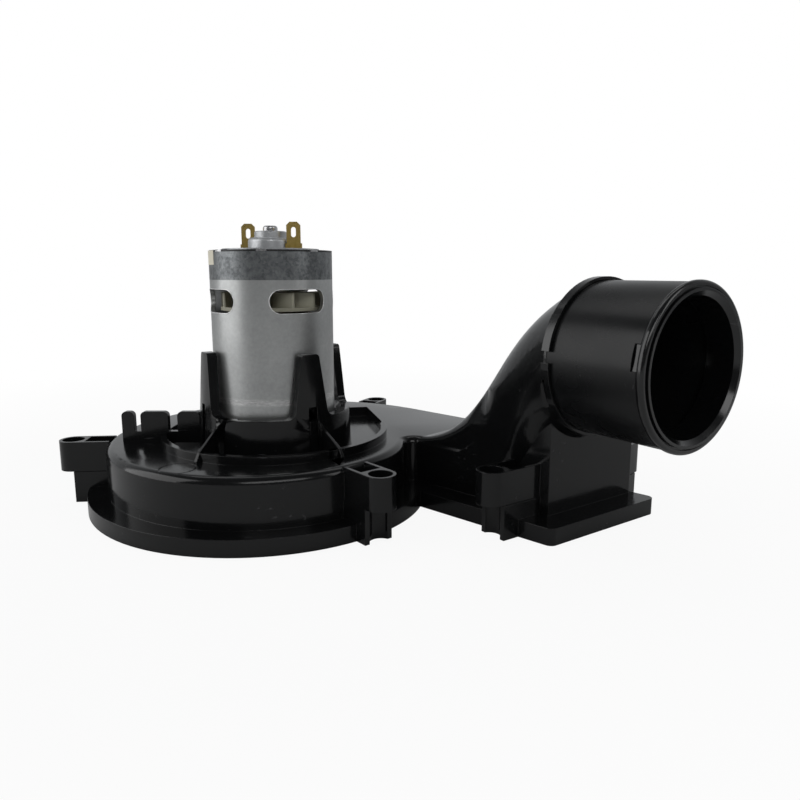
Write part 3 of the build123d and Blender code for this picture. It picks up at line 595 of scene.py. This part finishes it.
def turn_rib(shape, azimuth, inner_turn, outer_turn):
    """Swings a thin rib of the recess about the motor, more at the cup than at the bead."""
    middle = Vector((math.cos(math.radians(azimuth)), math.sin(math.radians(azimuth)), 0))
    across = Vector((-middle.y, middle.x, 0))
    for vert in shape.verts:
        out, off = vert.co.dot(middle), vert.co.dot(across)
        in_rib = abs(off) < rib_half_width and rib_reach[0] < out < rib_reach[1]
        if in_rib and vert.co.z > rib_foot:
            part = share(math.hypot(out, off), *rib_turn_radii)
            turn = inner_turn + (outer_turn - inner_turn) * part
            vert.co -= across * off * rib_thinning
            vert.co.rotate(Matrix.Rotation(math.radians(turn), 3, "Z"))


def housing_shell():
    """Copy of the upper housing with its triangles joined, its bend opened, its ribs turned."""
    shape = bmesh.new()
    shape.from_mesh(nodes["upper_housing"].data)
    bmesh.ops.remove_doubles(shape, verts=shape.verts, dist=merge_distance)
    surface = BVHTree.FromBMesh(shape)
    levels = side_levels(surface)
    bend_side(surface, levels)
    open_bend_side(shape, levels)
    for rib in thin_ribs:
        turn_rib(shape, *rib)
    shade_by_angle(shape, sharp_angle)
    finish_piece(shape, "housing_shell", "housing_black", "upper_housing")


def arc_piece(name, corners, azimuths, steps, place, finish):
    """Closed bar of a given section, spun about the Z axis of its own place."""
    shape = bmesh.new()
    verts = [shape.verts.new((radius, 0, height)) for radius, height in corners]
    face = shape.faces.new(verts)
    start, end = azimuths
    turn_z(shape, verts, start)
    bmesh.ops.spin(shape, geom=[face] + list(face.edges) + list(face.verts), axis=up,
                   cent=origin, angle=math.radians(end - start), steps=steps)
    bmesh.ops.recalc_face_normals(shape, faces=shape.faces)
    bmesh.ops.transform(shape, matrix=place, verts=shape.verts)
    shade_by_angle(shape, sharp_angle)
    finish_piece(shape, name, finish)


def square_section(inner, outer, low, high):
    return (inner, low), (outer, low), (outer, high), (inner, high)


def collar_lug():
    """Lug in the wide gap of the collar's upper part."""
    corners = square_section(lug_inner, lug_outer, 0.0, lug_length)
    start = Matrix.Translation(outlet_axis + outlet_forward * collar_lug_start)
    axes = Matrix((outlet_side, outlet_forward.cross(outlet_side), outlet_forward)).transposed()
    place = start @ axes.to_4x4()
    arc_piece("collar_lug", corners, lug_azimuths, 14, place, "gloss_black")


def crimp_tabs():
    """Bright tabs of the can's rim, bent in over the end plate."""
    corners = ((crimp_inner, motor_top - 0.0001), (crimp_outer, motor_top - 0.0006),
               (crimp_outer, motor_top + 0.0001), (crimp_inner, motor_top + 0.0003))
    for number, azimuth in enumerate(crimp_azimuths, 1):
        azimuths = (azimuth - crimp_half_angle, azimuth + crimp_half_angle)
        arc_piece(f"crimp_tab_{number}", corners, azimuths, 6, Matrix(), "bright_steel")


def rim_tab():
    """Cream tab of the brush holder, wide enough to show at the rim from the front."""
    corners = square_section(rim_tab_inner, rim_tab_outer, motor_top - 0.0048,
                             motor_top - 0.0001)
    arc_piece("rim_tab", corners, rim_tab_azimuths, 12, Matrix(), "cream_nylon")


def window_wire():
    """Flat ring of wire, as long and high as a window, with even cuts where it bends."""
    shape = bmesh.new()
    verts = bmesh.ops.create_circle(shape, segments=6, radius=window_wire_radius)["verts"]
    quarter = Matrix.Rotation(math.radians(90), 3, "X")
    bmesh.ops.rotate(shape, verts=verts, cent=origin, matrix=quarter)
    bmesh.ops.translate(shape, verts=verts, vec=(window_half_height, 0, 0))
    turn_z(shape, verts, 5)
    bmesh.ops.spin(shape, geom=shape.verts[:] + shape.edges[:], axis=up, cent=origin,
                   angle=math.radians(360), steps=36, use_merge=True)
    for vert in shape.verts:
        vert.co.x += math.copysign(window_half_width - window_half_height, vert.co.x)
    for step in range(-5, 6):
        geometry = shape.verts[:] + shape.edges[:] + shape.faces[:]
        bmesh.ops.bisect_plane(shape, geom=geometry, dist=cut_distance,
                               plane_co=(step * 0.0012, 0, 0), plane_no=(1, 0, 0))
    return shape


def window_rims():
    """Rounded wire for the chamfer round each window of the can; its light colour is a painted
    highlight.
    """
    for number, azimuth in enumerate(window_azimuths, 1):
        shape = window_wire()
        for vert in shape.verts:
            along, above, out = vert.co
            angle, radius = math.radians(azimuth) + along / can_radius, can_skin + out
            vert.co = Vector((radius * math.cos(angle), radius * math.sin(angle),
                              window_height + above))
        bmesh.ops.recalc_face_normals(shape, faces=shape.faces)
        shade_by_angle(shape, math.radians(80))
        finish_piece(shape, f"window_rim_{number}", "burnished_edge")


housing_shell()
collar_lug()
crimp_tabs()
rim_tab()
window_rims()


# Stage, light and camera

white = (1, 1, 1, 1)
sky = (0.96, 0.98, 1.0, 1)
surround_level, behind_level = 0.11, 0.6
floor_radius, floor_shade = 4.0, (0.78, 0.78, 0.78, 1)

# Name, place, what it points at, size, power
lamps = (
    ("key_left", (-0.86, -0.22, 0.38), (0.0, 0.0, 0.04), (0.9, 0.9), 5.5),
    ("front_high", (0.30, -0.95, 0.62), (0.0, 0.0, 0.04), (0.9, 0.35), 3.0),
    ("fill_right", (0.75, -0.30, 0.35), (0.05, 0.0, 0.04), (0.25, 0.5), 0.9),
    ("top_back", (0.0, 0.3, 0.85), (0.02, 0.0, 0.03), (0.9, 0.3), 1.0),
)


def add_world():
    """White to the camera; to all else soft behind the object and darker on the camera's side."""
    world = bpy.data.worlds.new("studio")
    bpy.context.scene.world = world
    world.use_nodes = True
    tree = world.node_tree
    tree.nodes.clear()
    output = tree.nodes.new("ShaderNodeOutputWorld")
    place = separate(tree, "XYZ", tree.nodes.new("ShaderNodeTexCoord").outputs["Generated"])
    behind = map_range(tree, place["Y"], -0.35, 0.5, 0.0, 1.0)
    low = map_range(tree, place["Z"], 0.42, 0.8, 1.0, 0.2)
    level = math_node(tree, "MULTIPLY", behind, low)
    level = map_range(tree, level, 0.0, 1.0, surround_level, behind_level)
    soft = tree.nodes.new("ShaderNodeBackground")
    tree.links.new(level, soft.inputs["Strength"])
    soft.inputs["Color"].default_value = sky
    plain = tree.nodes.new("ShaderNodeBackground")
    plain.inputs["Color"].default_value = white
    show_camera(tree, 1.0, soft.outputs[0], plain.outputs[0], output)


def add_lamp(name, place, target, size, power):
    data = bpy.data.lights.new(name, "AREA")
    data.shape = "RECTANGLE"
    data.size, data.size_y = size
    data.energy = power
    lamp = bpy.data.objects.new(name, data)
    lamp.location = place
    direction = Vector(target) - Vector(place)
    lamp.rotation_euler = direction.to_track_quat("-Z", "Y").to_euler()
    bpy.context.scene.collection.objects.link(lamp)


def add_floor():
    """Pale floor that fades to white away from the object and keeps its shadow."""
    mesh = bpy.data.meshes.new("floor")
    shape = bmesh.new()
    bmesh.ops.create_circle(shape, cap_ends=True, segments=64, radius=floor_radius)
    shape.to_mesh(mesh)
    shape.free()
    floor = bpy.data.objects.new("floor", mesh)
    bpy.context.scene.collection.objects.link(floor)
    material, tree, shader = new_material("floor_white")
    shader.inputs["Base Color"].default_value = floor_shade
    shader.inputs["Roughness"].default_value = 0.9
    shader.inputs["Specular IOR Level"].default_value = 0.1
    output = [n for n in tree.nodes if n.type == "OUTPUT_MATERIAL"][0]
    glow = tree.nodes.new("ShaderNodeEmission")
    glow.inputs["Color"].default_value = white
    distance = tree.nodes.new("ShaderNodeVectorMath")
    distance.operation = "LENGTH"
    tree.links.new(object_coordinates(tree), distance.inputs[0])
    fade = map_range(tree, distance.outputs["Value"], 0.12, 0.35, 0.92, 1.0)
    show_camera(tree, fade, shader.outputs[0], glow.outputs[0], output)
    mesh.materials.append(material)


def add_camera():
    data = bpy.data.cameras.new("camera")
    data.sensor_width = sensor_width
    data.lens = focal_pixels / image_size * sensor_width
    data.shift_y = (horizon_centre - image_size / 2) / image_size
    data.clip_start, data.clip_end = 0.01, 20
    camera = bpy.data.objects.new("camera", data)
    camera.location = camera_place
    camera.rotation_euler = (math.radians(90 - camera_pitch), 0, 0)
    bpy.context.scene.collection.objects.link(camera)
    bpy.context.scene.camera = camera


add_world()
add_floor()
for lamp in lamps:
    add_lamp(*lamp)
add_camera()

bpy.context.scene.view_settings.view_transform = "Standard"
